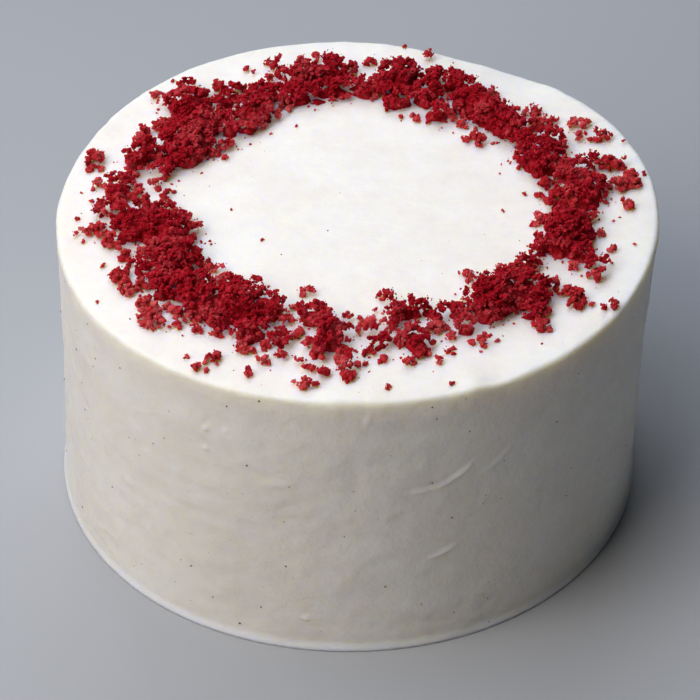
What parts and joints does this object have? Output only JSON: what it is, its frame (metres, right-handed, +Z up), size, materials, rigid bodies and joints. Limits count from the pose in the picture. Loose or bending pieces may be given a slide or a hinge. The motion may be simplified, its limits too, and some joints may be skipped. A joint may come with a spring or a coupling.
{
  "type": "red velvet chiffon cake",
  "caption": "Whole round layer cake under smooth cream cheese cream, its flat top dressed with a ragged wreath of red sponge crumbs.",
  "frame": {"origin": "middle of the flat base that the cake stands on", "axes": "+Z up, the front of the cake faces -Y, +X to its right"},
  "size_m": [0.1598, 0.1578, 0.0944],
  "materials": {
    "cream": "smooth spread cream cheese cream, off-white, soft satin, with faint knife marks",
    "red_crumb": "rough, moist red velvet sponge crumbs, deep crimson"
  },
  "bodies": {
    "root": {"cake": "cream", "crumb_wreath": "red_crumb", "crumb_clump_01": "red_crumb", "crumb_clump_02": "red_crumb", "crumb_clump_03": "red_crumb", "crumb_clump_04": "red_crumb", "crumb_clump_05": "red_crumb", "crumb_clump_06": "red_crumb", "crumb_clump_07": "red_crumb", "crumb_clump_08": "red_crumb", "crumb_clump_09": "red_crumb", "crumb_clump_10": "red_crumb"}
  },
  "joints": []
}
